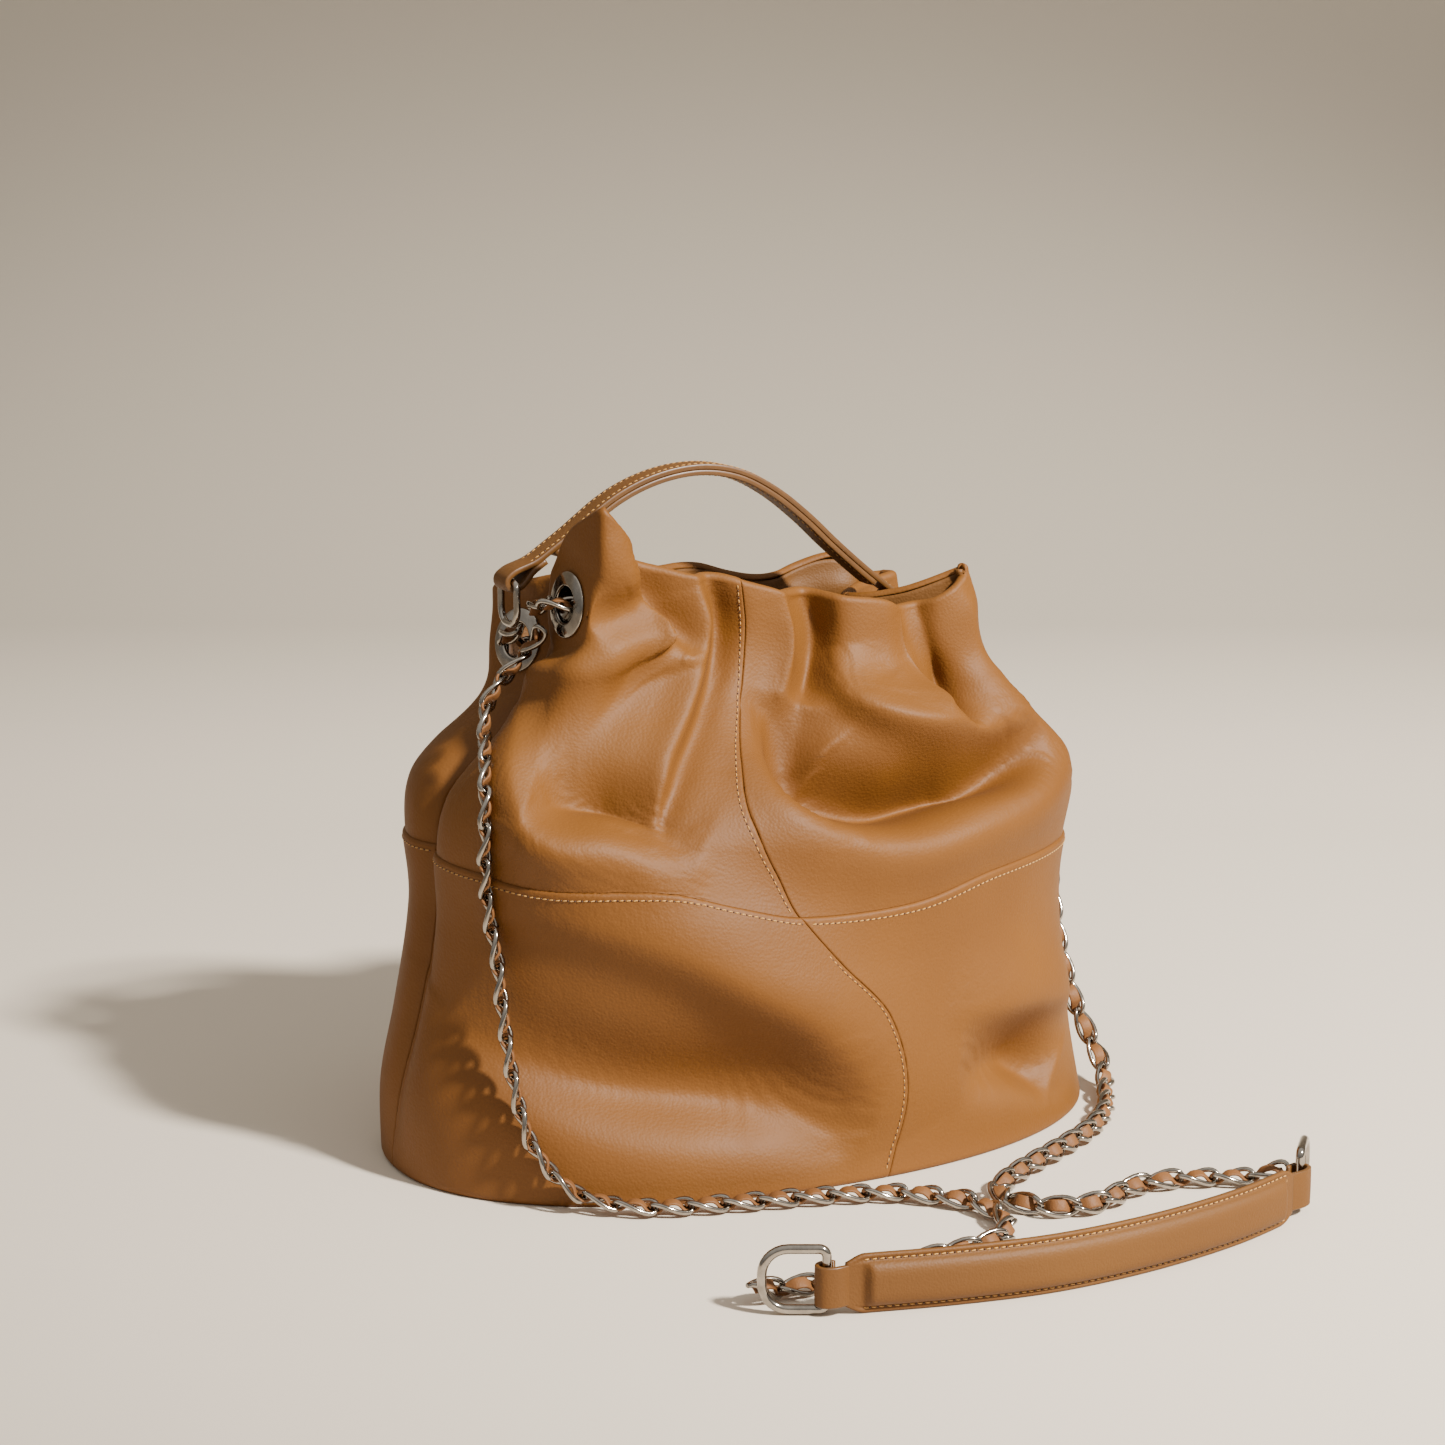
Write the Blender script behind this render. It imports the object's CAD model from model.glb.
"""Looks of a leather bucket bag with a gathered mouth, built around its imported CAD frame.

Lengths below are millimetres unless a name says otherwise; MM turns them into scene metres.
+Z is up and the bag's front faces -Y. A place on the wall is (u, t): u runs once around the bag,
0 at the front seam, 0.25 at the right side seam, 0.5 at the back and 0.75 at the left side seam;
t is 0 at the floor, 1 at the seam between the two tiers and 2 at the rim of the mouth.
"""

import math

import bpy
import numpy as np
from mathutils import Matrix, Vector


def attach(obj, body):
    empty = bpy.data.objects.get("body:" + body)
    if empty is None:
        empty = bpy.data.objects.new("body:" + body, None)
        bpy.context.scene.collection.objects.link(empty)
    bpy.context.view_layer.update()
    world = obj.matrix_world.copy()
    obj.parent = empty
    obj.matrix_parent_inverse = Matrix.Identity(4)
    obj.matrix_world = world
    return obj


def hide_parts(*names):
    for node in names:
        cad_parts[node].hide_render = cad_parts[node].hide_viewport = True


MM = 0.001
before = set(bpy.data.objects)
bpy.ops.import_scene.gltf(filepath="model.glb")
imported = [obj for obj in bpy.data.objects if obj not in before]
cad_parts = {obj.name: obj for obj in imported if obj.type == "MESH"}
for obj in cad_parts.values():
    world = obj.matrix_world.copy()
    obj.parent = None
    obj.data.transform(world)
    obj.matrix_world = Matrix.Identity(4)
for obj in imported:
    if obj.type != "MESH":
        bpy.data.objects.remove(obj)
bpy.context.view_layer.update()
scene = bpy.context.scene


# ------------------------------------------------------------------ camera
CAMERA_PLACE = (-519.3, -1050.0, 391.0)
CAMERA_FORWARD = (0.4303, 0.8823, -0.1908)
CAMERA_LENS = 74.74
SENSOR = 36.0


def add_camera():
    data = bpy.data.cameras.new("camera")
    data.lens = CAMERA_LENS
    data.sensor_width = SENSOR
    data.clip_end = 20.0
    camera = bpy.data.objects.new("camera", data)
    scene.collection.objects.link(camera)
    camera.location = Vector(CAMERA_PLACE) * MM
    camera.rotation_euler = Vector(CAMERA_FORWARD).to_track_quat("-Z", "Y").to_euler()
    scene.camera = camera


# ------------------------------------------------------------------ small maths
def smooth_step(a, b, x):
    t = np.clip((x - a) / (b - a), 0, 1)
    return t * t * (3 - 2 * t)


def mix(a, b, w):
    return a + (b - a) * w


def signed_power(x, power):
    """A power of the size of x, with x's sign."""
    return np.sign(x) * np.abs(x) ** power


def unit(v):
    v = np.asarray(v, float)
    return v / np.maximum(np.linalg.norm(v, axis=-1, keepdims=True), 1e-12)


def spline(points, x):
    """A smooth curve through the points (x, y), held level outside them."""
    p = np.asarray(points, float)
    px, py = p[:, 0], p[:, 1]
    slope = np.empty(len(p))
    slope[1:-1] = (py[2:] - py[:-2]) / (px[2:] - px[:-2])
    slope[0] = (py[1] - py[0]) / (px[1] - px[0])
    slope[-1] = (py[-1] - py[-2]) / (px[-1] - px[-2])
    at = np.clip(x, px[0], px[-1])
    i = np.clip(np.searchsorted(px, at, side="left") - 1, 0, len(p) - 2)
    h = px[i + 1] - px[i]
    t = (at - px[i]) / h
    rise = py[i] * (1 + 2 * t) * (1 - t) ** 2 + py[i + 1] * t * t * (3 - 2 * t)
    return rise + h * t * (1 - t) * (slope[i] * (1 - t) - slope[i + 1] * t)


def ring_spline(points, x):
    """The same for a closed ring, where x runs from 0 to 1 and starts again."""
    before = [(p[0] - 1, p[1]) for p in points[-3:]]
    after = [(p[0] + 1, p[1]) for p in points[:3]]
    return spline(before + list(points) + after, np.asarray(x, float) % 1.0)


def catmull(points, step=1.0):
    """Points about step apart on a smooth curve through the given ones (centripetal Catmull-Rom)."""
    p = np.asarray(points, float)
    p = np.vstack([2 * p[0] - p[1], p, 2 * p[-1] - p[-2]])
    dense = []
    for a, b, c, d in zip(p[:-3], p[1:-2], p[2:-1], p[3:]):
        knots = [0.0]
        for q, r in ((a, b), (b, c), (c, d)):
            knots.append(knots[-1] + max(np.linalg.norm(r - q), 1e-6) ** 0.5)
        k0, k1, k2, k3 = knots
        count = max(2, int(np.linalg.norm(c - b) / 0.5))
        for t in np.linspace(k1, k2, count, endpoint=False):
            a1 = (k1 - t) / (k1 - k0) * a + (t - k0) / (k1 - k0) * b
            a2 = (k2 - t) / (k2 - k1) * b + (t - k1) / (k2 - k1) * c
            a3 = (k3 - t) / (k3 - k2) * c + (t - k2) / (k3 - k2) * d
            b1 = (k2 - t) / (k2 - k0) * a1 + (t - k0) / (k2 - k0) * a2
            b2 = (k3 - t) / (k3 - k1) * a2 + (t - k1) / (k3 - k1) * a3
            dense.append((k2 - t) / (k2 - k1) * b1 + (t - k1) / (k2 - k1) * b2)
    dense.append(p[-2])
    return resample(np.array(dense), step)


def arc_lengths(points):
    return np.concatenate([[0], np.cumsum(np.linalg.norm(np.diff(points, axis=0), axis=1))])


def at_length(points, lengths, s):
    return np.stack([np.interp(s, lengths, points[:, k]) for k in range(points.shape[1])], -1)


def resample(points, step):
    lengths = arc_lengths(points)
    count = max(2, int(round(lengths[-1] / step)) + 1)
    return at_length(points, lengths, np.linspace(0, lengths[-1], count))


# ------------------------------------------------------------------ mesh helpers
def add_mesh(name, points, faces, material, body="bag", replaces=(), slot=None):
    """A mesh piece from points in millimetres, riding on a CAD body."""
    mesh = bpy.data.meshes.new(name)
    places = np.asarray(points, float).reshape(-1, 3) * MM
    mesh.from_pydata(places.tolist(), [], [list(map(int, f)) for f in faces])
    mesh.validate()
    mesh.update()
    mesh.polygons.foreach_set("use_smooth", [True] * len(mesh.polygons))
    mesh.materials.append(material)
    piece = bpy.data.objects.new(name, mesh)
    scene.collection.objects.link(piece)
    if replaces:
        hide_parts(*replaces)
    if body:
        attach(piece, body)
    return piece


def grid_faces(rows, cols, start=0, flip=False, wrap_cols=False, wrap_rows=False):
    """Quads over a rows x cols block of points stored row by row."""
    i = np.arange(rows if wrap_rows else rows - 1)
    j = np.arange(cols if wrap_cols else cols - 1)
    i, j = np.meshgrid(i, j, indexing="ij")
    i, j = i.ravel(), j.ravel()
    i2, j2 = (i + 1) % rows, (j + 1) % cols
    quads = np.stack([i * cols + j, i * cols + j2, i2 * cols + j2, i2 * cols + j], 1) + start
    return quads[:, ::-1] if flip else quads


def capped_sweep(count, sides):
    """Faces of a closed section swept along count places, with both ends closed."""
    faces = [list(f) for f in grid_faces(count, sides, wrap_cols=True)]
    faces.append(list(range(sides))[::-1])
    faces.append([(count - 1) * sides + k for k in range(sides)])
    return faces


def shell(outer, inner):
    """Points and faces of a closed skin between two grids of the same size (rows x cols x 3)."""
    rows, cols = outer.shape[:2]
    n = rows * cols
    points = np.concatenate([outer.reshape(-1, 3), inner.reshape(-1, 3)])
    faces = [grid_faces(rows, cols), grid_faces(rows, cols, n, flip=True)]
    index = np.arange(n).reshape(rows, cols)
    border = np.concatenate([index[0, :], index[1:, -1], index[-1, -2::-1], index[-2:0:-1, 0]])
    following = np.roll(border, -1)
    faces.append(np.stack([following, border, border + n, following + n], 1))
    return points, np.concatenate(faces)


def wire_loop(path, radius, sides, up):
    """Points and faces of a round wire along a closed path."""
    count = len(path)
    tangent = unit(np.roll(path, -1, 0) - np.roll(path, 1, 0))
    side, other = carried_frame(tangent, up)
    angle = np.arange(sides) * 2 * math.pi / sides
    ring = (np.cos(angle)[None, :, None] * side[:, None] + np.sin(angle)[None, :, None] * other[:, None])
    points = (path[:, None] + ring * radius).reshape(-1, 3)
    return points, grid_faces(count, sides, wrap_cols=True, wrap_rows=True)


def carried_frame(tangent, up):
    """Two directions across a path, carried along it without twist."""
    side = np.empty_like(tangent)
    other = np.empty_like(tangent)
    across = np.asarray(up, float)
    for i, t in enumerate(tangent):
        across = across - t * (across @ t)
        if np.linalg.norm(across) < 1e-6:
            across = np.cross(t, (0.3, 0.9, 0.1))
        across = across / np.linalg.norm(across)
        side[i] = across
        other[i] = np.cross(t, across)
    return side, other


def join(parts):
    """Several (points, faces) as one."""
    points, faces, start = [], [], 0
    for p, f in parts:
        points.append(np.asarray(p, float))
        faces.extend([[int(k) + start for k in face] for face in f])
        start += len(p)
    return np.concatenate(points), faces


# ------------------------------------------------------------------ materials
def srgb(r, g, b):
    def channel(c):
        c = c / 255
        return c / 12.92 if c <= 0.04045 else ((c + 0.055) / 1.055) ** 2.4
    return (channel(r), channel(g), channel(b), 1.0)


class Nodes:
    """A short way to build a node material."""

    def __init__(self, name):
        self.material = bpy.data.materials.new(name)
        self.material.use_nodes = True
        self.tree = self.material.node_tree
        self.shader = self.tree.nodes["Principled BSDF"]

    def add(self, kind, values=None, **settings):
        node = self.tree.nodes.new(kind)
        for key, value in settings.items():
            setattr(node, key, value)
        for key, value in (values or {}).items():
            node.inputs[key].default_value = value
        return node

    def link(self, source, target):
        self.tree.links.new(source, target)

    def set(self, **values):
        """Fixed values of the shader's inputs, with _ for the spaces in their names."""
        for key, value in values.items():
            self.shader.inputs[key.replace("_", " ")].default_value = value

    def drive(self, key, source):
        self.link(source, self.shader.inputs[key])

    def place(self):
        return self.add("ShaderNodeTexCoord").outputs["Object"]

    def noise(self, place, scale, detail=3.0, roughness=0.55):
        node = self.add("ShaderNodeTexNoise", {"Scale": scale, "Detail": detail, "Roughness": roughness})
        self.link(place, node.inputs["Vector"])
        return node.outputs["Fac"]

    def wave(self, place, scale, distortion, direction):
        values = {"Scale": scale, "Distortion": distortion}
        node = self.add("ShaderNodeTexWave", values, wave_type="BANDS", bands_direction=direction)
        self.link(place, node.inputs["Vector"])
        return node.outputs["Fac"]

    def cells(self, place, scale, **settings):
        node = self.add("ShaderNodeTexVoronoi", {"Scale": scale}, **settings)
        self.link(place, node.inputs["Vector"])
        return node

    def ramp(self, value, stops):
        node = self.add("ShaderNodeValToRGB")
        elements = node.color_ramp.elements
        while len(elements) < len(stops):
            elements.new(0.5)
        for element, (at, colour) in zip(elements, stops):
            element.position = at
            element.color = colour
        self.link(value, node.inputs["Fac"])
        return node.outputs["Color"]

    def bump(self, height, strength, distance, below=None, invert=False):
        node = self.add("ShaderNodeBump", {"Strength": strength, "Distance": distance}, invert=invert)
        self.link(height, node.inputs["Height"])
        if below is not None:
            self.link(below, node.inputs["Normal"])
        return node.outputs["Normal"]

    def map_range(self, value, low, high):
        node = self.add("ShaderNodeMapRange", {"To Min": low, "To Max": high})
        self.link(value, node.inputs["Value"])
        return node.outputs["Result"]


def shaded(colour, share):
    """A colour with only a share of its brightness."""
    return [c * share for c in colour[:3]] + [1]


def leather(name, light, dark, grain=1.0):
    """Grained leather: fine pebbles, faint mottling and a satin sheen."""
    n = Nodes(name)
    place = n.place()
    n.drive("Base Color", n.ramp(n.noise(place, 9.0, 4.0), [(0.3, dark), (0.7, light)]))
    pebbles = n.cells(place, 900.0 * grain, feature="SMOOTH_F1")
    pebbles.inputs["Smoothness"].default_value = 0.6
    wrinkles = n.bump(n.noise(place, 420.0 * grain, 4.0, 0.6), 0.12, 0.0003)
    n.drive("Normal", n.bump(pebbles.outputs["Distance"], 0.35, 0.0003, below=wrinkles, invert=True))
    n.drive("Roughness", n.map_range(n.noise(place, 60.0), 0.54, 0.68))
    n.set(Specular_IOR_Level=0.3)
    return n.material


def plain_edge(name, colour):
    """Painted cut edge of a leather strap."""
    n = Nodes(name)
    place = n.place()
    n.drive("Base Color", n.ramp(n.noise(place, 120.0), [(0.35, shaded(colour, 0.82)), (0.65, colour)]))
    n.drive("Normal", n.bump(n.noise(place, 900.0), 0.2, 0.0002))
    n.set(Roughness=0.38)
    return n.material


def nickel(name):
    """Polished plating with faint wear."""
    n = Nodes(name)
    place = n.place()
    tones = [(0.3, srgb(142, 136, 128)), (0.7, srgb(170, 163, 154))]
    n.drive("Base Color", n.ramp(n.noise(place, 300.0), tones))
    n.drive("Roughness", n.map_range(n.noise(place, 700.0, 5.0), 0.08, 0.18))
    n.drive("Normal", n.bump(n.noise(place, 1500.0), 0.06, 0.0001))
    n.set(Metallic=1.0)
    return n.material


def thread(name, colour):
    """Twisted sewing thread."""
    n = Nodes(name)
    strands = n.wave(n.place(), 900.0, 1.0, "DIAGONAL")
    n.drive("Base Color", n.ramp(strands, [(0.2, shaded(colour, 0.7)), (0.8, colour)]))
    n.drive("Normal", n.bump(strands, 0.4, 0.0002))
    n.set(Roughness=0.6)
    return n.material


def woven_cloth(name, light, dark):
    """Plain-weave lining: two crossed sets of fine ribs."""
    n = Nodes(name)
    place = n.place()
    both = n.add("ShaderNodeMath", operation="MULTIPLY")
    for k, direction in enumerate(("X", "Z")):
        n.link(n.wave(place, 420.0, 0.6, direction), both.inputs[k])
    weave = both.outputs["Value"]
    n.drive("Base Color", n.ramp(weave, [(0.1, dark), (0.8, light)]))
    n.drive("Normal", n.bump(weave, 0.4, 0.0003))
    n.set(Roughness=0.88, Sheen_Weight=0.15)
    return n.material


def foam_material(name, light, dark):
    """Soft filling with fine open cells."""
    n = Nodes(name)
    cells = n.cells(n.place(), 1500.0).outputs["Distance"]
    n.drive("Base Color", n.ramp(cells, [(0.2, dark), (0.8, light)]))
    n.drive("Normal", n.bump(cells, 0.5, 0.0003))
    n.set(Roughness=0.95)
    return n.material


def backdrop_material():
    """Studio paper: pale on the floor, darker where it begins to rise."""
    n = Nodes("backdrop")
    height = n.add("ShaderNodeSeparateXYZ")
    n.link(n.place(), height.inputs["Vector"])
    tones = [(0.0, srgb(210, 199, 184)), (0.07, srgb(170, 161, 147)), (0.9, srgb(214, 204, 188))]
    n.drive("Base Color", n.ramp(height.outputs["Z"], tones))
    n.set(Roughness=0.85)
    return n.material


WALL_LEATHER = leather("camel_leather", srgb(110, 68, 20), srgb(100, 60, 16))
STRAP_LEATHER = leather("strap_leather", srgb(100, 64, 23), srgb(92, 57, 19), 1.3)
LACE_LEATHER = leather("lace_leather", srgb(116, 76, 40), srgb(100, 62, 29), 1.6)
EDGE_PAINT = plain_edge("edge_paint", srgb(92, 59, 23))
NICKEL = nickel("polished_nickel")
STITCH = thread("stitch_thread", srgb(190, 142, 76))
NEEDLE_HOLE = plain_edge("needle_hole", srgb(58, 30, 12))
LINING_CLOTH = woven_cloth("lining_weave", srgb(134, 106, 76), srgb(96, 74, 50))
FOAM = foam_material("pad_foam_material", srgb(222, 216, 202), srgb(196, 188, 172))


# ------------------------------------------------------------------ the wall surface, as in the CAD
LEATHER = 2.0
SLACK = 1.5
FACING = 1.2
STACK = LEATHER + SLACK + FACING   # the wall's layers at the mouth
FACING_DEPTH = 46

# Half the wall's length and depth, its squareness and its twist in degrees, each against height.
LEFT = [(0, 149), (30, 149), (60, 143), (100, 136), (140, 134), (160, 125), (180, 108), (200, 100),
        (256, 80)]
RIGHT = [(0, 151), (30, 145), (60, 141), (100, 139), (125, 140), (145, 134), (160, 122), (180, 112),
         (200, 105), (225, 94), (256, 85)]
DEPTH = [(0, 93.6), (60, 91), (112, 87), (150, 76), (190, 55), (228, 36), (256, 30)]
SQUARENESS = [(0, 2.15), (110, 2.15), (155, 2.9), (256, 3)]
TWIST = [(0, 6), (35, 9.5), (65, 7), (85, 0), (106, -7), (135, -14), (165, -20), (230, -22)]
# Height of the tier seam against u.
TIER_SEAM = [(0, 106.5), (0.05, 106), (0.1, 112.5), (0.17, 114), (0.25, 112), (0.35, 110), (0.5, 118),
             (0.65, 126), (0.72, 128), (0.78, 126), (0.83, 124.5), (0.88, 122.5), (0.93, 121.5),
             (0.955, 119.5), (0.975, 113)]
# The rim of the mouth: (u, x, y, z).
RIM = [
    (0.000, -15, -33, 223.5), (0.035, 8, -29, 217.5), (0.070, 28, -37, 215), (0.105, 44, -36, 213),
    (0.135, 55, -30, 209), (0.165, 70, -36, 212), (0.195, 88, -36, 222), (0.215, 89, -26, 223),
    (0.232, 66, -14, 213.5), (0.250, 52, 1, 210), (0.268, 66, 18, 210), (0.290, 88, 28, 213),
    (0.315, 88, 40, 212), (0.360, 70, 38, 212), (0.400, 56, 33, 222), (0.450, 25, 36, 215),
    (0.500, -5, 36, 221.5), (0.550, -35, 35, 220), (0.600, -60, 36, 215), (0.650, -80, 42, 214),
    (0.685, -90, 36, 218), (0.715, -84, 18, 221), (0.735, -78, 9, 224), (0.750, -76, 2, 225),
    (0.775, -84, -10, 230), (0.810, -84, -24, 245), (0.840, -82, -38, 252.5), (0.865, -79, -48, 256),
    (0.890, -69, -46, 247), (0.920, -58, -35, 234), (0.960, -42, -31, 228.5),
]
GATHER_FROM = 0.22               # shares of the upper tier between which it gathers to the rim
GATHER_TO = 0.92
# Where each eyelet sits: u and height.
EYELETS = {
    "front_left": (0.818, 220),
    "back_left": (0.713, 200),
    "front_right": (0.2235, 200),
    "back_right": (0.2765, 195),
}
EYELET_R = 12.6
EYELET_HOLE_R = 6.6


def rim_at(u, k):
    """Column k of the rim's table, as a smooth ring."""
    return ring_spline([(p[0], p[k]) for p in RIM], u)


def plain_wall(u, t):
    """The CAD's wall, before its folds: points for arrays of u and t."""
    u, t = np.broadcast_arrays(np.asarray(u, float), np.asarray(t, float))
    seam = ring_spline(TIER_SEAM, u)
    top = rim_at(u, 3)
    up = np.clip(t - 1, 0, 1)
    z = np.where(t <= 1, seam * t, mix(seam, top, up))
    turn = np.radians(spline(TWIST, z)) * np.maximum(0, np.cos(2 * math.pi * u))
    angle = 2 * math.pi * u - math.pi / 2 + turn
    c, s = np.cos(angle), np.sin(angle)
    power = 2 / spline(SQUARENESS, z)
    half = np.where(c < 0, spline(LEFT, z), spline(RIGHT, z))
    x = signed_power(c, power) * half
    y = signed_power(s, power) * spline(DEPTH, z)
    gathered = smooth_step(GATHER_FROM, GATHER_TO, up)
    return np.stack([mix(x, rim_at(u, 1), gathered), mix(y, rim_at(u, 2), gathered), z], -1)


def plain_normal(u, t):
    """Outward normals of the plain wall, from places a little to each side."""
    u, t = np.asarray(u, float), np.asarray(t, float)
    along = plain_wall(u + 0.004, t) - plain_wall(u - 0.004, t)
    rise = plain_wall(u, np.minimum(2, t + 0.01)) - plain_wall(u, np.maximum(0, t - 0.01))
    return unit(np.cross(along, rise))


def t_at_height(u, z):
    """The t of a height on the wall."""
    seam = ring_spline(TIER_SEAM, u)
    return np.where(z < seam, z / seam, 1 + (z - seam) / (rim_at(u, 3) - seam))


def eyelet_axis(name):
    """Where an eyelet sits on the wall, and its outward axis."""
    u, z = EYELETS[name]
    t = float(t_at_height(u, z))
    return plain_wall(u, t), plain_normal(u, t)


# ------------------------------------------------------------------ folds pressed into the wall
# Each fold is its widths to the left and right of a route, and the route's (u, t, depth) places.
# Depth is how far the wall moves along its normal there, outwards positive. Left and right are as
# seen from outside by someone going along the route, so one that runs downwards has its left on
# the viewer's right. Sharp says how pointed its line is: 1 is a soft roll and more is a crease.
# Lean says how far it also moves sideways, to its left, for each millimetre of depth.
def fold(left, right, *route, sharp=1.0, lean=0.0):
    return dict(left=left, right=right, route=route, sharp=sharp, lean=lean)


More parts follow.
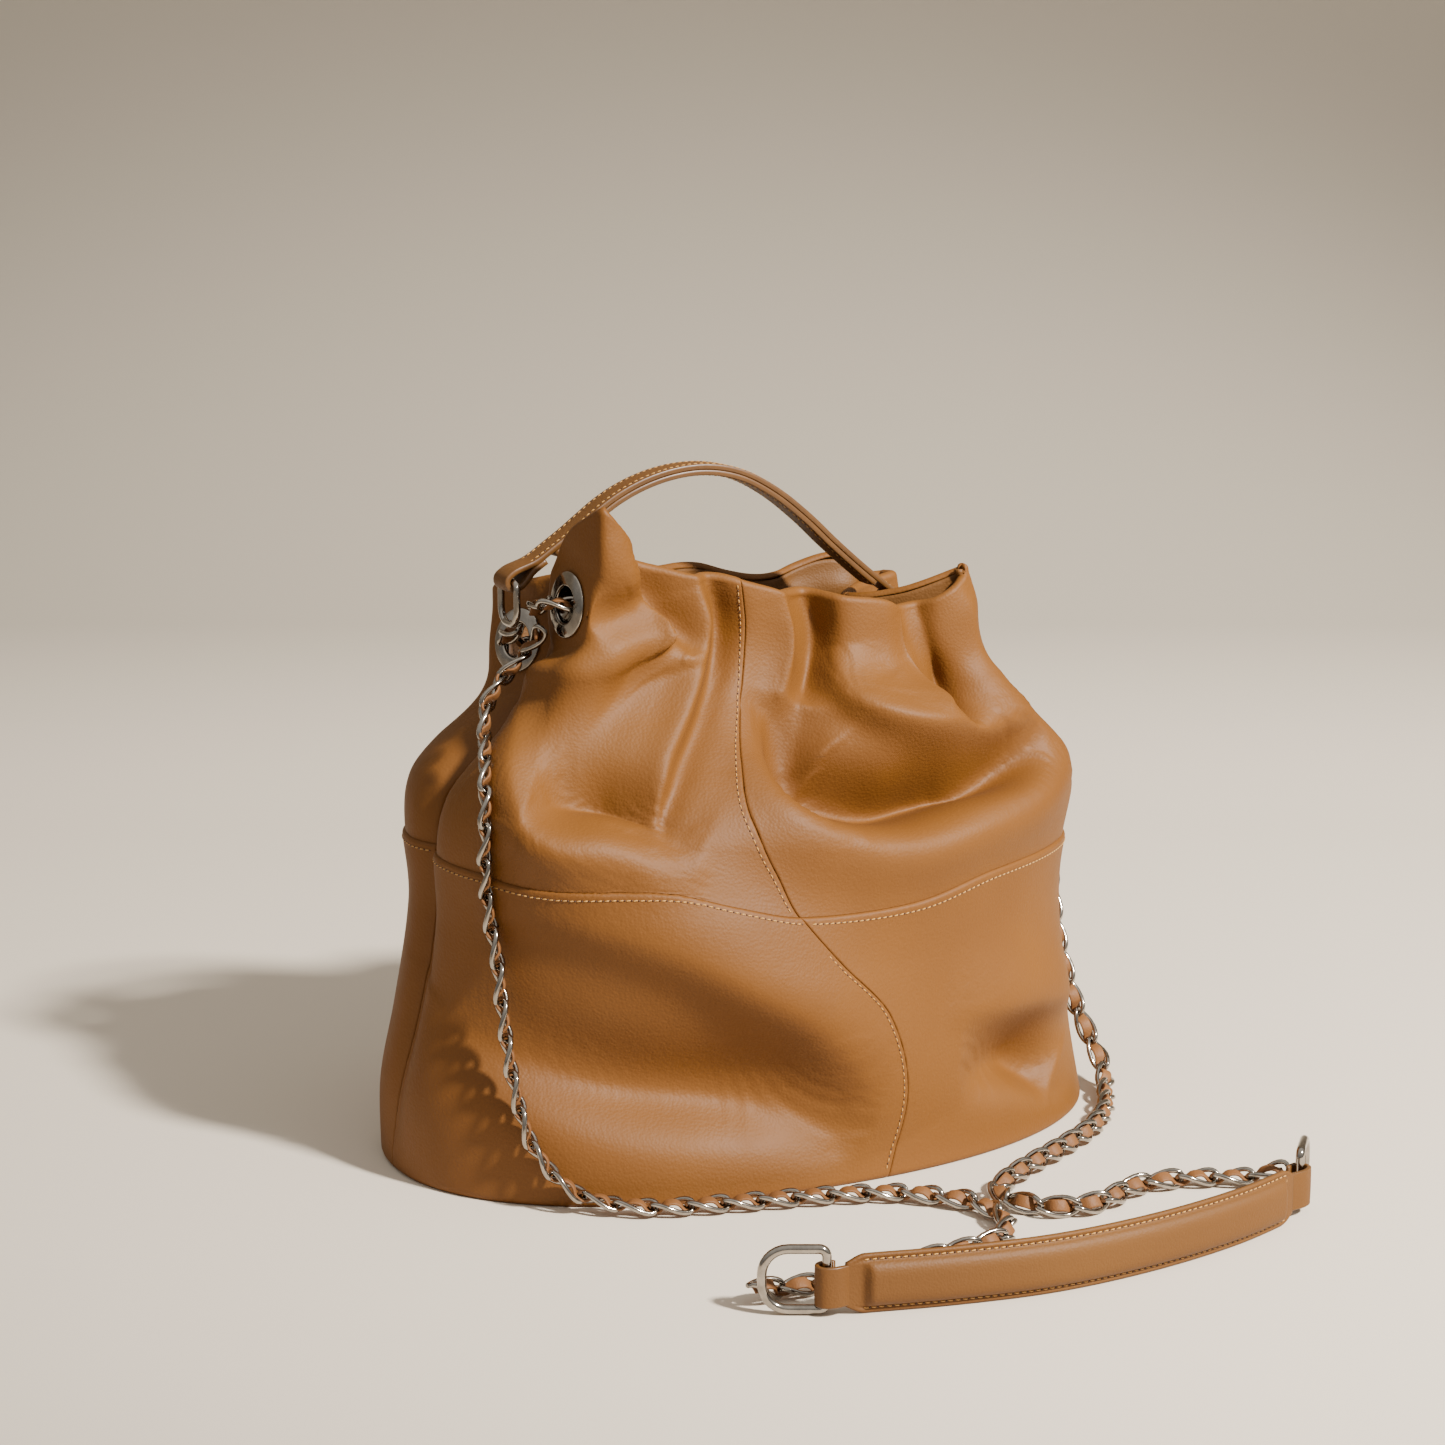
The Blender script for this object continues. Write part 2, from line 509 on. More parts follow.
FOLDS = [
    # the left ear's front edge, which runs on as the shoulder over the gusset and as the crease's head
    fold(5, 12, (0.880, 1.99, 0), (0.892, 1.94, 2), (0.903, 1.89, 6), (0.913, 1.84, 9),
         (0.924, 1.80, 9), (0.936, 1.76, 6), (0.946, 1.72, 0), sharp=1.2, lean=0.5),
    fold(17, 6, (0.928, 1.86, 0), (0.920, 1.81, 3), (0.908, 1.75, 7), (0.883, 1.66, 9),
         (0.858, 1.61, 9), (0.82, 1.61, 8), (0.77, 1.60, 4), (0.745, 1.60, 0), sharp=1.2),
    fold(6, 15, (0.926, 1.81, 2), (0.940, 1.79, 7), (0.956, 1.765, 7), (0.968, 1.73, 5),
         (0.975, 1.69, 1), sharp=1.1),
    fold(7, 10, (0.912, 1.88, -4), (0.902, 1.80, -9), (0.885, 1.735, -12), (0.86, 1.70, -12),
         (0.83, 1.69, -10), (0.79, 1.69, -6), (0.76, 1.69, 0)),
    # valley between the ear and the front rim
    fold(9, 8, (0.918, 1.99, -6), (0.931, 1.93, -7), (0.940, 1.87, -6), (0.952, 1.82, -6),
         (0.965, 1.775, -4), (0.974, 1.73, 0), sharp=1.1),
    # long crease that runs down beside the front seam, and the valley between the two
    fold(3, 17, (0.974, 1.99, 3), (0.979, 1.88, 6), (0.980, 1.78, 7), (0.982, 1.67, 8),
         (0.984, 1.57, 8), (0.985, 1.46, 7), (0.983, 1.38, 7), (0.976, 1.28, 5), (0.968, 1.20, 2),
         (0.96, 1.14, 0), sharp=1.2),
    fold(8, 4, (0.982, 1.99, -5), (0.988, 1.89, -9), (0.991, 1.78, -8), (0.992, 1.68, -5),
         (0.991, 1.57, -3), (0.990, 1.45, -3), (0.985, 1.32, 0)),
    # the roll to the right of the front seam, which drops into the short pleat
    fold(3.5, 12, (0.026, 1.99, 5), (0.031, 1.89, 7), (0.036, 1.79, 7), (0.038, 1.71, 5),
         (0.036, 1.62, 0), sharp=1.1),
    fold(9, 5, (0.044, 1.99, -8), (0.048, 1.90, -9), (0.050, 1.80, -9), (0.050, 1.72, -8),
         (0.048, 1.65, -2), sharp=1.1),
    # the pleat before the right ear, a slit between two rolls
    fold(4, 16, (0.128, 1.99, 4), (0.140, 1.86, 6), (0.138, 1.72, 6), (0.125, 1.61, 4),
         (0.112, 1.55, 0), sharp=1.1),
    fold(9, 5, (0.151, 1.99, -7), (0.156, 1.90, -10), (0.158, 1.78, -12), (0.152, 1.66, -12),
         (0.141, 1.57, -8), (0.132, 1.51, 0), sharp=1.2),
    fold(12, 12, (0.200, 2.0, -6), (0.197, 1.92, -4), (0.192, 1.82, 2), (0.187, 1.70, 4),
         (0.190, 1.58, 5), (0.196, 1.46, 7), (0.200, 1.34, 6), (0.20, 1.22, 2)),
    # the big hollow under the front's right half, the bulge above it and the lip under it
    fold(15, 13, (0.042, 1.66, 0), (0.043, 1.58, -10), (0.044, 1.49, -20), (0.050, 1.40, -28),
         (0.065, 1.355, -32), (0.085, 1.35, -32), (0.11, 1.36, -28), (0.135, 1.375, -20),
         (0.165, 1.39, -10), (0.19, 1.41, 0), lean=-0.15),
    fold(18, 11, (0.066, 1.84, 1), (0.070, 1.72, 6), (0.080, 1.62, 12), (0.100, 1.55, 14),
         (0.13, 1.52, 13), (0.165, 1.50, 8), (0.20, 1.47, 0), lean=-0.4),
    fold(4, 12, (0.026, 1.64, 0), (0.030, 1.54, 4), (0.032, 1.44, 6), (0.034, 1.34, 5),
         (0.040, 1.25, 1), sharp=1.1, lean=0.3),
    fold(9, 18, (0.020, 1.46, 1), (0.026, 1.32, 4), (0.038, 1.22, 7), (0.065, 1.195, 8),
         (0.10, 1.23, 8), (0.135, 1.27, 7), (0.17, 1.33, 4), (0.19, 1.36, 0)),
    # triangular dent left of the crease, with its lip
    fold(20, 8, (0.890, 1.23, 0), (0.908, 1.245, -9), (0.930, 1.26, -15), (0.950, 1.265, -18),
         (0.966, 1.25, -15), (0.975, 1.21, -6), (0.979, 1.16, 0), lean=-0.2),
    fold(7, 14, (0.885, 1.16, 2), (0.905, 1.15, 5), (0.935, 1.16, 6), (0.960, 1.14, 5),
         (0.978, 1.10, 0)),
    # the left corner's ridge, curling round under the dent
    fold(8, 15, (0.80, 1.45, 2), (0.85, 1.32, 5), (0.88, 1.22, 7), (0.893, 1.16, 7), (0.905, 1.13, 5),
         (0.920, 1.10, 3), (0.94, 1.06, 0), sharp=1.1),
    # the left side: deep crease along the side seam, fuller on both sides
    fold(9, 9, (0.752, 1.66, 0), (0.752, 1.55, -8), (0.752, 1.45, -10), (0.752, 1.25, -10),
         (0.752, 1.05, -8), (0.752, 0.8, -7), (0.752, 0.5, -6), (0.752, 0.2, -3), (0.752, 0.05, 0),
         sharp=1.2),
    # lower tier: a long drape line from the left corner down to the front seam, a hollow under it
    fold(28, 17, (0.83, 0.97, 1), (0.853, 0.95, 4), (0.903, 0.89, 9), (0.940, 0.80, 12),
         (0.960, 0.66, 12), (0.974, 0.49, 9), (0.988, 0.30, 4), (1.0, 0.12, 0)),
    fold(25, 15, (0.79, 0.55, -3), (0.825, 0.47, -8), (0.86, 0.40, -14), (0.892, 0.35, -17),
         (0.922, 0.32, -17), (0.945, 0.29, -13), (0.965, 0.24, -7), (0.985, 0.17, 0)),
    # the dent low on the right, between two soft ridges
    fold(17, 10, (0.030, 0.33, 0), (0.048, 0.32, -7), (0.070, 0.30, -13), (0.090, 0.26, -17),
         (0.106, 0.20, -13), (0.116, 0.14, -3)),
    fold(22, 10, (0.03, 0.60, 0), (0.06, 0.55, 4), (0.09, 0.51, 6), (0.13, 0.46, 6), (0.17, 0.42, 1)),
    # the back and the right side, gathered in the same way
    fold(9, 9, (0.25, 1.66, 0), (0.25, 1.5, -8), (0.25, 1.2, -8), (0.25, 0.9, -6), (0.25, 0.5, -5),
         (0.25, 0.1, 0), sharp=1.2),
    fold(8, 10, (0.30, 1.99, -3), (0.305, 1.8, -7), (0.31, 1.62, -6), (0.315, 1.45, 0), sharp=1.1),
    fold(12, 9, (0.345, 1.99, 4), (0.35, 1.8, 6), (0.34, 1.6, 5), (0.33, 1.45, 0)),
    fold(7, 10, (0.385, 1.99, -5), (0.385, 1.82, -10), (0.38, 1.66, -10), (0.375, 1.5, 0), sharp=1.1),
    fold(10, 7, (0.44, 1.99, -5), (0.445, 1.8, -9), (0.44, 1.6, -9), (0.43, 1.4, 0), sharp=1.1),
    fold(12, 8, (0.485, 1.99, 3), (0.487, 1.8, 6), (0.48, 1.6, 6), (0.47, 1.4, 0)),
    fold(6, 10, (0.53, 1.99, -5), (0.53, 1.84, -9), (0.54, 1.68, -6), (0.545, 1.58, 0), sharp=1.1),
    fold(10, 7, (0.575, 1.99, -4), (0.58, 1.8, -9), (0.60, 1.6, -9), (0.62, 1.4, 0), sharp=1.1),
    fold(8, 10, (0.64, 1.99, -4), (0.645, 1.8, -8), (0.65, 1.6, -9), (0.66, 1.38, 0), sharp=1.1),
    fold(20, 13, (0.37, 1.42, 0), (0.42, 1.33, -12), (0.48, 1.28, -16), (0.54, 1.30, -14),
         (0.60, 1.38, 0)),
    fold(9, 14, (0.38, 1.20, 0), (0.44, 1.13, 5), (0.50, 1.12, 6), (0.56, 1.15, 5), (0.62, 1.24, 0)),
    fold(16, 24, (0.36, 0.86, 0), (0.42, 0.74, -6), (0.49, 0.62, -9), (0.56, 0.60, -8),
         (0.63, 0.70, 0)),
    fold(13, 10, (0.33, 0.40, 0), (0.36, 0.32, -8), (0.39, 0.28, -9), (0.42, 0.30, 0)),
]
# The front seam wanders sideways on the upper tier: how far, in u, at each t.
SEAM_DRIFT = [(0, 0), (1.0, 0), (1.15, 0.007), (1.30, 0.016), (1.45, 0.021), (1.6, 0.016),
              (1.8, 0.006), (2, 0)]
DRIFT_REACH = 0.15
SAMPLE_U, SAMPLE_T = 400, 110    # turns u and t into roughly equal steps for smoothing a route
FOLD_REACH = 2.4                 # a fold dies out within so many of its widths


def drifted(u, t):
    """u, moved with the front seam's wandering, which dies out around it."""
    from_seam = np.abs((u + 0.5) % 1.0 - 0.5) / DRIFT_REACH
    return u + spline(SEAM_DRIFT, t) * np.maximum(0, 1 - from_seam ** 2) ** 2


def press_folds(points, normals):
    """Moves wall points along their normals by every fold's profile."""
    flat = points.reshape(-1, 3)
    moved = np.zeros_like(flat)
    out = normals.reshape(-1, 3)
    for press in FOLDS:
        route = np.array(press["route"], float) * (SAMPLE_U, SAMPLE_T, 1)
        dense = catmull(route, 1.2) / (SAMPLE_U, SAMPLE_T, 1)
        line = plain_wall(dense[:, 0], dense[:, 1])
        reach = FOLD_REACH * max(press["left"], press["right"])
        low, high = line.min(0) - reach, line.max(0) + reach
        near = np.nonzero(np.all((flat > low) & (flat < high), axis=1))[0]
        gap = flat[near][:, None] - line[None]
        square = (gap ** 2).sum(-1)
        k = square.argmin(1)     # each point's nearest place on the route
        rows = np.arange(len(near))
        tangent = unit(np.gradient(line, axis=0))[k]
        side = np.cross(plain_normal(dense[k, 0], dense[k, 1]), tangent)
        signed = (gap[rows, k] * side).sum(-1)
        width = mix(press["right"], press["left"], smooth_step(-2, 2, signed))
        x = np.sqrt(square[rows, k]) / width
        profile = np.exp(-1.2 * x ** (2 / press["sharp"] ** 1.5))
        moved[near] += (dense[k, 2] * profile)[:, None] * (out[near] + press["lean"] * side)
    return points + moved.reshape(points.shape)


def from_eyelet(points, name):
    """Height of points over an eyelet's plane, their distance from its axis, and the axis."""
    centre, axis = eyelet_axis(name)
    offset = points - centre
    height = offset @ axis
    return height, np.linalg.norm(offset - height[..., None] * axis, axis=-1), axis


CALM = (15, 30)                  # folds die out between these distances from an eyelet
SEAT = (13.5, 24)                # the wall leaves an eyelet's plane between these radii
SEAT_DEPTH = (6, 12)             # only wall this close to the plane is flattened onto it


def eyelet_calm(points):
    """0 where an eyelet clamps the wall, rising to 1 away from it."""
    calm = np.ones(points.shape[:-1])
    for name in EYELETS:
        centre, _ = eyelet_axis(name)
        calm = np.minimum(calm, smooth_step(*CALM, np.linalg.norm(points - centre, axis=-1)))
    return calm


def seat_eyelets(points):
    """Flattens the wall onto each eyelet's plane."""
    for name in EYELETS:
        height, across, axis = from_eyelet(points, name)
        weight = (1 - smooth_step(*SEAT, across)) * (1 - smooth_step(*SEAT_DEPTH, np.abs(height)))
        points = points - (weight * height)[..., None] * axis
    return points


# ------------------------------------------------------------------ the wall as one fine grid
QUARTERS = ["front_right", "back_right", "back_left", "front_left"]
FINE = 1.5                       # spacing of the wall's points
SEAM_EDGE = np.array((0, 0.3, 0.7, 1.2, 1.9, 2.8))   # extra columns beside a seam's rounded edge
QUARTER_LENGTH = 195.0           # about how long a quarter of the wall is
LOWER_LENGTH = 112.0             # and how high each tier is, along the leather
UPPER_LENGTH = 150.0


def stations(length):
    """Shares of a length, with extra points near both ends."""
    inner = np.arange(SEAM_EDGE[-1] + FINE, length - SEAM_EDGE[-1] - FINE / 2, FINE)
    return np.concatenate([SEAM_EDGE, inner, length - SEAM_EDGE[::-1]]) / length


FOOT_CALM = 0.12                 # folds die out towards the floor below this t


def fold_wall(us, ts):
    """The folded wall's points for a grid of stations (rows ts, columns us)."""
    u, t = np.meshgrid(us, ts)
    u = drifted(u, t)
    points = plain_wall(u, t)
    normals = plain_normal(u, t)
    calm = eyelet_calm(points) * smooth_step(0, FOOT_CALM, t)
    folded = mix(points, press_folds(points, normals), calm[..., None])
    return seat_eyelets(folded)


def grid_normals(points):
    """Outward normals of a grid whose columns run once around."""
    along = np.roll(points, -1, 1) - np.roll(points, 1, 1)
    along[:, 0] = points[:, 1] - points[:, 0]
    along[:, -1] = points[:, -1] - points[:, -2]
    rise = np.gradient(points, axis=0)
    return unit(np.cross(along, rise))


class Wall:
    """The folded wall, and places on it."""

    def __init__(self):
        self.quarter = stations(QUARTER_LENGTH)
        self.us = np.concatenate([(k + self.quarter) / 4 for k in range(4)])
        self.lower = stations(LOWER_LENGTH)
        self.ts = np.concatenate([self.lower, 1 + stations(UPPER_LENGTH)[1:]])
        self.points = fold_wall(self.us, self.ts)
        self.normals = grid_normals(self.points)
        self.rise = unit(np.gradient(self.points, axis=0))

    def sample(self, grid, u, t):
        u, t = np.broadcast_arrays(np.asarray(u, float) % 1.0, np.asarray(t, float))
        column = np.interp(u, self.us, np.arange(len(self.us)))
        row = np.interp(t, self.ts, np.arange(len(self.ts)))
        j = np.minimum(column.astype(int), len(self.us) - 2)
        i = np.minimum(row.astype(int), len(self.ts) - 2)
        a, b = (column - j)[..., None], (row - i)[..., None]
        low = mix(grid[i, j], grid[i, j + 1], a)
        high = mix(grid[i + 1, j], grid[i + 1, j + 1], a)
        return mix(low, high, b)

    def place(self, u, t, depth=0.0):
        """Points on the wall, sunk by depth."""
        return self.sample(self.points, u, t) - np.asarray(depth)[..., None] * self.normal(u, t)

    def normal(self, u, t):
        return unit(self.sample(self.normals, u, t))


WALL = Wall()
SEAM_ROUND = 0.6                 # radius of a panel's turned edge
TIER_PROUD = 1.2                 # the lower tier's folded edge laps over the upper tier
RIM_ROLL = STACK / 2             # radius of the roll over the rim
PANEL = 1.6                      # thickness shown
UNDERLAP = 0.035                 # how far the upper tier reaches below the seam, in t
TUCK = 0.6                       # how deep that part lies
LAP_FROM = 0.78                  # the lower tier starts to stand proud here, in t
FOOT_ROUND = 2.4                 # radius of the lower tier's turned foot
EYELET_CUT = 9.5                 # radius cut out of the layers at an eyelet
CUT_MARGIN = 2                   # how far past the layers the cut goes


def turned_edge(distance, radius):
    """How far a rounded edge has dropped at a distance from its end."""
    inside = np.clip(radius - distance, 0, radius)
    return radius - np.sqrt(radius ** 2 - inside ** 2)


def pierced(points, faces):
    """The faces that no eyelet passes through."""
    centres = points[faces].mean(1)
    inside = np.zeros(len(centres), bool)
    for name in EYELETS:
        height, across, _ = from_eyelet(centres, name)
        inside |= (across < EYELET_CUT) & (height < CUT_MARGIN) & (height > -STACK - CUT_MARGIN)
    return faces[~inside]


def evened(directions, passes):
    """Directions around the rim, averaged with their neighbours."""
    for _ in range(passes):
        directions = (np.roll(directions, 1, 0) + 2 * directions + np.roll(directions, -1, 0)) / 4
    return unit(directions)


RIM_PASSES = 12
RIM_OUT = evened(WALL.normals[-1], RIM_PASSES)
RIM_RISE = evened(WALL.rise[-1], RIM_PASSES)


def lower_panel(quarter, cols, seam_drop):
    """One quarter of the lower tier, its top edge turned and lapped over the upper tier."""
    split = len(WALL.lower)
    points, normals = WALL.points[:split, cols], WALL.normals[:split, cols]
    up = WALL.lower * LOWER_LENGTH
    down = LOWER_LENGTH - up
    lift = TIER_PROUD * smooth_step(LAP_FROM, 1.0, WALL.lower) - turned_edge(down, TIER_PROUD + 0.4)
    lift = lift - turned_edge(up, FOOT_ROUND)
    offset = lift[:, None] - seam_drop * np.minimum(1, down / 3)[:, None]
    body, faces = shell(points + offset[..., None] * normals, points - PANEL * normals)
    body[:, 2] = np.maximum(body[:, 2], 0)
    add_mesh(f"lower_panel_{quarter}_leather", body, faces, WALL_LEATHER,
             replaces=[f"lower_panel_{quarter}"], slot="wall_leather")


def upper_panel(quarter, cols, seam_drop):
    """One quarter of the upper tier, from under the seam up and over the rim."""
    rows = np.searchsorted(WALL.ts, 1 - UNDERLAP)
    points, normals = WALL.points[rows:, cols], WALL.normals[rows:, cols]
    sunk = TUCK * (WALL.ts[rows:, None] < 0.999)
    outer = [points - (sunk + seam_drop)[..., None] * normals]
    inner = [points - (sunk + PANEL)[..., None] * normals]
    out, rise = RIM_OUT[cols], RIM_RISE[cols]
    middle = points[-1] - RIM_ROLL * out
    for a in np.radians(np.linspace(15, 180, 12)):
        spoke = out * math.cos(a) + rise * math.sin(a)
        drop = seam_drop[:, None] * math.cos(a) * out
        outer.append((middle + RIM_ROLL * spoke - drop)[None])
        inner.append((middle + (RIM_ROLL - PANEL) * spoke)[None])
    body, faces = shell(np.concatenate(outer), np.concatenate(inner))
    add_mesh(f"upper_panel_{quarter}_leather", body, pierced(body, faces), WALL_LEATHER,
             replaces=[f"upper_panel_{quarter}"], slot="wall_leather")


def wall_panels():
    """The eight leather panels, each a closed piece with turned edges."""
    count = len(WALL.quarter)
    across = WALL.quarter * QUARTER_LENGTH
    seam_drop = turned_edge(np.minimum(across, QUARTER_LENGTH - across), SEAM_ROUND)
    for k, quarter in enumerate(QUARTERS):
        cols = slice(k * count, (k + 1) * count)
        lower_panel(quarter, cols, seam_drop)
        upper_panel(quarter, cols, seam_drop)


def neighbours(grid):
    """The grid shifted by one place up, down and each way around."""
    tall = np.pad(grid, [(1, 1)] + [(0, 0)] * (grid.ndim - 1), mode="edge")
    return [tall[:-2], tall[2:], np.roll(grid, 1, 1), np.roll(grid, -1, 1)]


FOLD_SPREAD = 4                  # passes that widen the folds for the layers behind them
FOLD_EASE = 14                   # passes that soften them
BAND_FREE = (1.90, 1.97)         # from here up, in t, the layers follow the rim itself


def soft_inside():
    """The wall as the layers behind it see it, with wider and softer folds, and its normals."""
    u, t = np.meshgrid(WALL.us, WALL.ts)
    plain = plain_wall(drifted(u, t), t)
    normals = plain_normal(drifted(u, t), t)
    sunk = -((WALL.points - plain) * normals).sum(-1)
    for _ in range(FOLD_SPREAD):
        sunk = np.maximum.reduce([sunk, *neighbours(sunk)])
    for _ in range(FOLD_EASE):
        sunk = (sum(neighbours(sunk)) + 2 * sunk) / 6
        normals = (sum(neighbours(normals)) + 2 * normals) / 6
    normals = unit(normals)
    own = (1 - smooth_step(*BAND_FREE, t)) * eyelet_calm(plain)
    return mix(WALL.points, plain - sunk[..., None] * normals, own[..., None]), normals


BAND_THICK = 1.0
LINING_DEPTH = 6.2
LINING_THICK = 0.7
LINING_FOOT = 0.045              # where the lining ends over the base, in t


def inner_layers():
    """The leather band inside the mouth and the cloth lining, front and back halves."""
    soft, inward = soft_inside()
    count = len(WALL.quarter)
    foot_t = t_at_height(WALL.us, rim_at(WALL.us, 3) - FACING_DEPTH)

    def layer(us, t, depth, thick):
        """Points and faces of a layer at a depth behind the wall; its rows run downwards."""
        u = np.broadcast_to(us, t.shape)
        points = WALL.sample(soft, u, t)
        normal = unit(WALL.sample(inward, u, t))
        depth = np.broadcast_to(depth, t.shape)[..., None]
        return shell(points - depth * normal, points - (depth - thick) * normal)

    for half, quarters in {"front": (3, 0), "back": (1, 2)}.items():
        cols = np.concatenate([np.arange(k * count, (k + 1) * count) for k in quarters])[::2]
        t = mix(2.0, foot_t[cols], np.linspace(0, 1, 32)[:, None])
        body, faces = layer(WALL.us[cols], t, STACK, BAND_THICK)
        add_mesh(f"mouth_facing_{half}_band", body, pierced(body, faces), STRAP_LEATHER,
                 replaces=[f"mouth_facing_{half}"], slot="facing_leather")
        cols = cols[::2]
        us = WALL.us[cols]
        t = mix(foot_t[cols] + 0.05, LINING_FOOT, np.linspace(0, 1, 90)[:, None])
        ripple = 1.4 * np.sin(us * 96 + 5 * np.sin(us * 31)) * smooth_step(0, 0.25, 2 - t)
        ripple = ripple * smooth_step(0.02, 0.4, t) + 0.7 * np.sin(us * 41 + t * 9)
        body, faces = layer(us, t, LINING_DEPTH + ripple, LINING_THICK)
        add_mesh(f"lining_{half}_cloth", body, faces, LINING_CLOTH, replaces=[f"lining_{half}"],
                 slot="lining_cloth")


# ------------------------------------------------------------------ stitches
STITCH_SPANS = {"lower": (0.03, 0.965), "upper": (1.012, 1.995)}   # t from and to, by tier
STITCH_BESIDE = 1.8              # distance of the stitches from an upright seam
STITCH_BELOW = 2.9               # and from the tier seam
STITCH_LIFT = 0.12               # a thread's middle over the leather
HOLE_LENGTH = 0.9
HOLE_WIDTH = 0.62
HOLE_LIFT = 0.02


def stitch_row(name, path, normals, pitch=2.6, length=1.9, width=0.55, body="bag", slant=0.0):
    """A row of sewn stitches along a path, and the needle holes between them."""
    sewn_beads(name, path, normals, pitch / 2, pitch, (length, width, STITCH_LIFT), slant, body, STITCH)
    sewn_beads(name.replace("stitches", "needle_holes"), path, normals, pitch, pitch,
               (HOLE_LENGTH, HOLE_WIDTH, HOLE_LIFT), slant, body, NEEDLE_HOLE)


def bead(length, width, lift, rings=6, sides=6):
    """Places (ahead, aside, up) of one rounded bead whose ends dip into the leather."""
    angle = np.arange(sides) * 2 * math.pi / sides
    along = np.linspace(-1, 1, rings)[:, None]
    half = (np.sqrt(np.maximum(0, 1 - np.abs(along) ** 3)) * 0.9 + 0.1) * width / 2
    dip = 0.35 * width * np.abs(along) ** 2.5
    ahead = np.broadcast_to(along * length / 2, (rings, sides))
    up = half * np.sin(angle) - dip + lift
    return np.stack([ahead, half * np.cos(angle), up], -1).reshape(-1, 3), capped_sweep(rings, sides)


def sewn_beads(name, path, normals, first, pitch, size, slant, body, material):
    """Short rounded beads, evenly spaced along a path, in one piece."""
    lengths = arc_lengths(path)
    centres = np.arange(first, lengths[-1], pitch)
    place = at_length(path, lengths, centres)
    up = unit(at_length(normals, lengths, centres))
    ahead = unit(at_length(path, lengths, centres + 0.4) - at_length(path, lengths, centres - 0.4))
    up = unit(up - (up * ahead).sum(-1, keepdims=True) * ahead)
    ahead = unit(ahead + slant * np.cross(up, ahead))
    local, one = bead(*size)
    axes = np.stack([ahead, np.cross(up, ahead), up], 1)
    points = place[:, None] + local @ axes
    faces = [[i + k * len(local) for i in f] for k in range(len(centres)) for f in one]
    add_mesh(name, points, faces, material, body=body)


def wall_stitches():
    """Stitch rows beside the upright seams and under the tier seam."""
    beside = STITCH_BESIDE / (4 * QUARTER_LENGTH)
    for seam, u in (("front", 1.0), ("back", 0.5)):
        for tier, span in STITCH_SPANS.items():
            t = np.linspace(*span, 90)
            stitch_row(f"stitches_{seam}_seam_{tier}", WALL.place(u - beside, t, -0.05),
                       WALL.normal(u - beside, t), pitch=2.9, length=1.6, width=0.5)
    for k, quarter in enumerate(QUARTERS):
        u = np.linspace(k / 4 + 0.002, (k + 1) / 4 - 0.002, 120)
        t = 1 - STITCH_BELOW / ring_spline(TIER_SEAM, u)
        lift = TIER_PROUD * smooth_step(LAP_FROM, 1.0, t)
        stitch_row(f"stitches_tier_seam_{quarter}", WALL.place(u, t, -lift), WALL.normal(u, t), slant=0.15)


# ------------------------------------------------------------------ turned and bent metal
def revolve(profile, centre, axis, sides=56):
    """Points and faces of a closed profile (radius, height) turned round an axis."""
    side, other = carried_frame(axis[None], (0.2, 0.1, 1.0))
    angle = np.arange(sides) * 2 * math.pi / sides
    spoke = np.cos(angle)[:, None] * side[0] + np.sin(angle)[:, None] * other[0]
    points = [centre + r * spoke + h * axis for r, h in profile]
    return points, grid_faces(len(profile), sides, wrap_cols=True, wrap_rows=True)


def arc_profile(centre, radius, start, end, steps):
    """Profile points along an arc, its angles in degrees."""
    return [(centre[0] + radius * math.cos(a), centre[1] + radius * math.sin(a))
            for a in np.radians(np.linspace(start, end, steps))]


def eyelets():
    """Polished eyelets with a rolled lip, and the flat washers behind them."""
    hole, rim, lip = EYELET_HOLE_R, EYELET_R, 1.0
    foot = -STACK - 1.6
    front = [(hole, foot), (hole + 0.7, foot), (hole + 0.7, 0.1), (rim - 0.4, 0.1),
             *arc_profile((rim - 0.5, 0.6), 0.5, -60, 80, 6), (rim - 1.4, 1.25), (rim - 2.8, 1.55),
             *arc_profile((hole + lip + 0.2, 0.75), lip, 75, 180, 8)]
    low = -STACK - 0.5
    behind = [(hole + 1.0, low), *arc_profile((rim - 0.9, low - 0.45), 0.45, 90, -90, 6),
              (rim - 2.5, low - 1.1), (hole + 1.8, low - 1.5), (hole + 1.0, low - 1.2)]
    for name in EYELETS:
        for node, profile in ((f"eyelet_{name}", front), (f"eyelet_washer_{name}", behind)):
            add_mesh(f"{node}_ring", *revolve(profile, *eyelet_axis(name)), NICKEL, replaces=[node],
                     slot="nickel")


def ring_path(width, height, near, far, steps=8):
    """A D ring's middle line in its own XY plane, hanging towards -X from its straight bar."""
    path = []
    corners = ((1, 1, 0, near), (-1, 1, 90, far), (-1, -1, 180, far), (1, -1, 270, near))
    for sx, sy, start, corner in corners:
        for a in np.radians(start + np.linspace(0, 90, steps)):
            x = sx * (height / 2 - corner) + corner * math.cos(a) - height / 2
            y = sy * (width / 2 - corner) + corner * math.sin(a)
            path.append((x, y, 0))
    return np.array(path)


